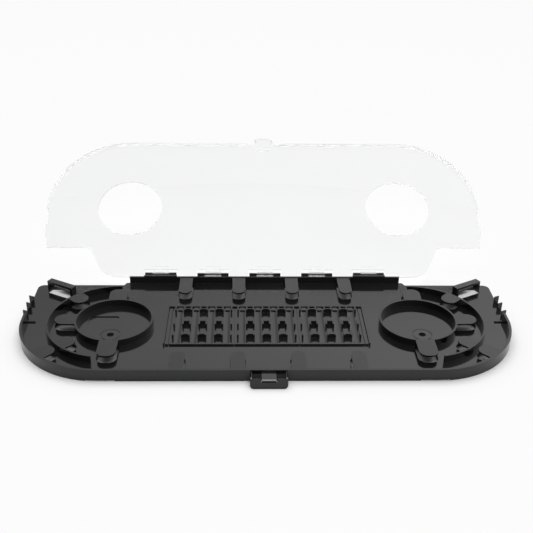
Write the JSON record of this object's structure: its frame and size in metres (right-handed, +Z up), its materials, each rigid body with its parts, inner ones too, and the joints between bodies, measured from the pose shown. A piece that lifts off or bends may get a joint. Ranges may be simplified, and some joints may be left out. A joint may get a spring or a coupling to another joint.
{
  "type": "fibre splice tray",
  "caption": "Black moulded splice tray with winding drums, arc guides and finger splice holders under a clear cover hinged along the back edge.",
  "frame": {"origin": "on the tray's base plane, midway between the two screw holes", "axes": "+X to the right along the tray's length, +Y from the latch to the hinge, +Z up out of the tray"},
  "size_m": [0.3166, 0.2255, 0.0724],
  "materials": {
    "black_plastic": "gloss moulded",
    "clear_plastic": "clear, slightly grey, polished"
  },
  "bodies": {
    "base": {"tray": "black_plastic", "splice_holder_left": "black_plastic", "splice_holder_centre": "black_plastic", "splice_holder_right": "black_plastic"},
    "lid": {"cover": "clear_plastic"}
  },
  "joints": [
    {"name": "cover_hinge", "type": "hinge", "parent": "base", "child": "lid", "pos_m": [0, 0.0681, 0.0086], "axis": [1, 0, 0], "range_deg": [0, 149]}
  ]
}
